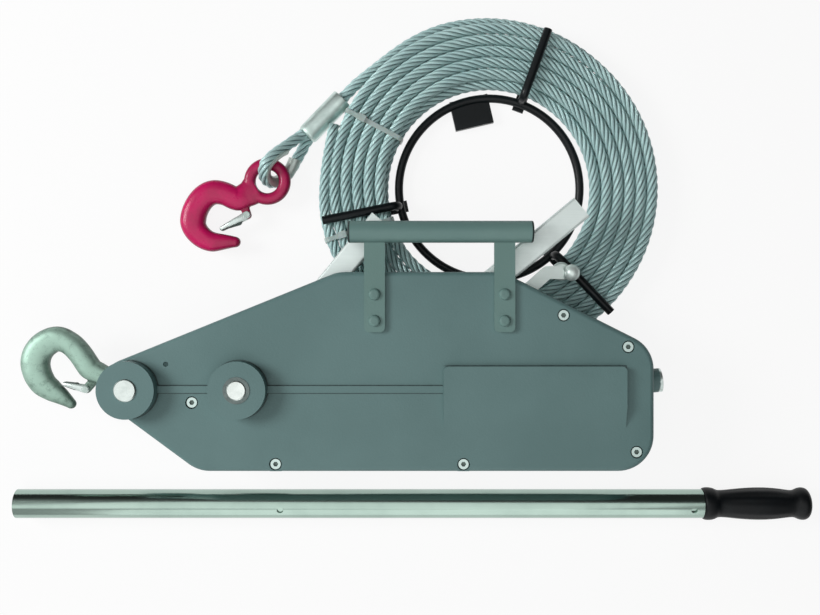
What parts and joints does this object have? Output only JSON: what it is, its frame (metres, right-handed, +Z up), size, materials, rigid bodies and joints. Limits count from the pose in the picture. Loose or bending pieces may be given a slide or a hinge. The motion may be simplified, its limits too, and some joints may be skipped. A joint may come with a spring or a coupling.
{
  "type": "wire rope pulling hoist",
  "caption": "Lever hoist that pulls a wire rope through gripping jaws, laid out with its hooked rope coiled on a reel and its telescopic lever.",
  "frame": {"origin": "on the floor under the anchor pin, where the pin's rear end stands", "axes": "+Z up from the floor, +X along the casing to the rope inlet, +Y towards the levers"},
  "size_m": [0.83, 0.5289, 0.1042],
  "materials": {
    "casing_paint": "satin greenish grey paint",
    "dark_plastic": "matt black",
    "zinc_steel": "bright zinc plated",
    "ground_steel": "ground pin steel",
    "forged_steel": "zinc plated forging",
    "plain_steel": "machined steel, oiled",
    "red_paint": "crimson paint on a forging",
    "galvanised_rope": "galvanised wire strands",
    "ferrule_aluminium": "pressed aluminium",
    "thimble_steel": "galvanised sheet",
    "reel_paint": "black coated rod",
    "tie_nylon": "clear nylon",
    "polished_tube": "polished tube",
    "grip_rubber": "black moulded rubber"
  },
  "bodies": {
    "hoist": {"front_cover": "casing_paint", "rear_cover": "casing_paint", "cover_screws": "zinc_steel", "rope_guide": "plain_steel", "anchor_pin": "ground_steel", "pivot_pin": "ground_steel", "pin_rings": "zinc_steel", "anchor_spacers": "ground_steel", "pivot_bushes": "ground_steel", "carry_handle_tube": "casing_paint", "handle_end_plugs": "dark_plastic", "carry_straps": "casing_paint", "strap_rivets": "casing_paint", "forward_lever_pin": "ground_steel", "release_lever_pin": "zinc_steel"},
    "anchor_hook": {"anchor_hook": "forged_steel", "anchor_latch_pin": "zinc_steel"},
    "anchor_latch": {"anchor_latch": "zinc_steel"},
    "forward_lever": {"forward_lever": "zinc_steel", "forward_crank": "plain_steel", "shear_pins": "zinc_steel"},
    "front_carrier": {"front_carrier_plates": "plain_steel", "front_carrier_ties": "plain_steel", "front_jaw_springs": "zinc_steel"},
    "front_upper_jaw": {"front_upper_jaw": "plain_steel"},
    "front_lower_jaw": {"front_lower_jaw": "plain_steel"},
    "rear_carrier": {"rear_carrier_plates": "plain_steel", "rear_carrier_ties": "plain_steel", "rear_jaw_springs": "zinc_steel"},
    "rear_upper_jaw": {"rear_upper_jaw": "plain_steel"},
    "rear_lower_jaw": {"rear_lower_jaw": "plain_steel"},
    "reverse_lever": {"reverse_lever": "zinc_steel", "reverse_crank": "plain_steel", "reverse_lever_pins": "zinc_steel"},
    "reverse_link": {"reverse_link": "plain_steel"},
    "release_lever": {"release_lever": "zinc_steel", "release_knob": "zinc_steel"},
    "rope_set": {"rope_coil": "galvanised_rope", "rope_eye": "galvanised_rope", "rope_thimble": "thimble_steel", "rope_ferrule": "ferrule_aluminium", "rope_reel": "reel_paint", "reel_tab": "dark_plastic", "cable_ties": "tie_nylon"},
    "load_hook": {"load_hook": "red_paint", "load_latch_pin": "zinc_steel"},
    "load_latch": {"load_latch": "zinc_steel"},
    "operating_lever": {"operating_tube_outer": "polished_tube"},
    "operating_inner": {"operating_tube_inner": "polished_tube", "operating_grip": "grip_rubber", "button_spring": "zinc_steel"},
    "lock_button": {"lock_button": "zinc_steel"}
  },
  "joints": [
    {"name": "anchor_hook_swing", "type": "hinge", "parent": "hoist", "child": "anchor_hook", "pos_m": [0, 0, 0.0565], "axis": [0, 0, 1], "range_deg": [-25, 25]},
    {"name": "anchor_latch_hinge", "type": "hinge", "parent": "anchor_hook", "child": "anchor_latch", "pos_m": [-0.0514, -0.002, 0.0565], "axis": [0, 0, 1], "range_deg": [-25, 0], "stiffness_Nm_per_rad": 0.05, "springref_deg": 17.19},
    {"name": "forward_lever_hinge", "type": "hinge", "parent": "hoist", "child": "forward_lever", "pos_m": [0.228, 0, 0.06], "axis": [0, 0, 1], "range_deg": [0, 55]},
    {"name": "front_carrier_slide", "type": "slide", "parent": "hoist", "child": "front_carrier", "axis": [0.9951, 0.0993, 0], "range_m": [0, 0.0224]},
    {"name": "rear_carrier_slide", "type": "slide", "parent": "hoist", "child": "rear_carrier", "axis": [0.9951, 0.0993, 0], "range_m": [-0.0224, 0]},
    {"name": "reverse_lever_hinge", "type": "hinge", "parent": "hoist", "child": "reverse_lever", "pos_m": [0.1073, 0, 0.04], "axis": [0, 0, 1], "range_deg": [0, 55]},
    {"name": "reverse_link_slide", "type": "slide", "parent": "hoist", "child": "reverse_link", "axis": [1, 0, 0], "range_m": [-0.0243, 0]},
    {"name": "release_lever_hinge", "type": "hinge", "parent": "hoist", "child": "release_lever", "pos_m": [0.352, 0.06, 0.046], "axis": [0, 0, 1], "range_deg": [0, 30]},
    {"name": "front_upper_jaw_slide", "type": "slide", "parent": "front_carrier", "child": "front_upper_jaw", "axis": [-0.0993, 0.9951, 0], "range_m": [0, 0.0031], "deforming": ["front_jaw_springs"]},
    {"name": "front_lower_jaw_slide", "type": "slide", "parent": "front_carrier", "child": "front_lower_jaw", "axis": [-0.0993, 0.9951, 0], "range_m": [-0.0031, 0]},
    {"name": "rear_upper_jaw_slide", "type": "slide", "parent": "rear_carrier", "child": "rear_upper_jaw", "axis": [-0.0993, 0.9951, 0], "range_m": [0, 0.0031], "deforming": ["rear_jaw_springs"]},
    {"name": "rear_lower_jaw_slide", "type": "slide", "parent": "rear_carrier", "child": "rear_lower_jaw", "axis": [-0.0993, 0.9951, 0], "range_m": [-0.0031, 0]},
    {"name": "rope_set_slide", "type": "slide", "parent": "hoist", "child": "rope_set", "axis": [0, 1, 0], "range_m": [0, 0.25]},
    {"name": "load_hook_swing", "type": "hinge", "parent": "rope_set", "child": "load_hook", "pos_m": [0.12544, 0.21185, 0.01963], "axis": [0, 0, 1], "range_deg": [-20, 20]},
    {"name": "load_latch_hinge", "type": "hinge", "parent": "load_hook", "child": "load_latch", "pos_m": [0.1045, 0.1766, 0.01963], "axis": [0, 0, 1], "range_deg": [-28, 0], "stiffness_Nm_per_rad": 0.05, "springref_deg": 17.19},
    {"name": "operating_lever_slide", "type": "slide", "parent": "hoist", "child": "operating_lever", "axis": [0, -1, 0], "range_m": [0, 0.1]},
    {"name": "operating_extend", "type": "slide", "parent": "operating_lever", "child": "operating_inner", "axis": [1, 0, 0], "range_m": [0, 0.429]},
    {"name": "lock_button_press", "type": "slide", "parent": "operating_inner", "child": "lock_button", "axis": [0, -0.2924, 0.9563], "range_m": [0, 0.0035], "stiffness_N_per_m": 300}
  ],
  "couplings": [
    {"joint": "front_carrier_slide", "follows": "forward_lever_hinge", "m_per_rad": 0.023089},
    {"joint": "rear_carrier_slide", "follows": "forward_lever_hinge", "m_per_rad": -0.023089},
    {"joint": "reverse_link_slide", "follows": "reverse_lever_hinge", "m_per_rad": -0.025013},
    {"joint": "front_upper_jaw_slide", "follows": "release_lever_hinge", "m_per_rad": 0.00573},
    {"joint": "front_lower_jaw_slide", "follows": "release_lever_hinge", "m_per_rad": -0.00573},
    {"joint": "rear_upper_jaw_slide", "follows": "release_lever_hinge", "m_per_rad": 0.00573},
    {"joint": "rear_lower_jaw_slide", "follows": "release_lever_hinge", "m_per_rad": -0.00573}
  ]
}
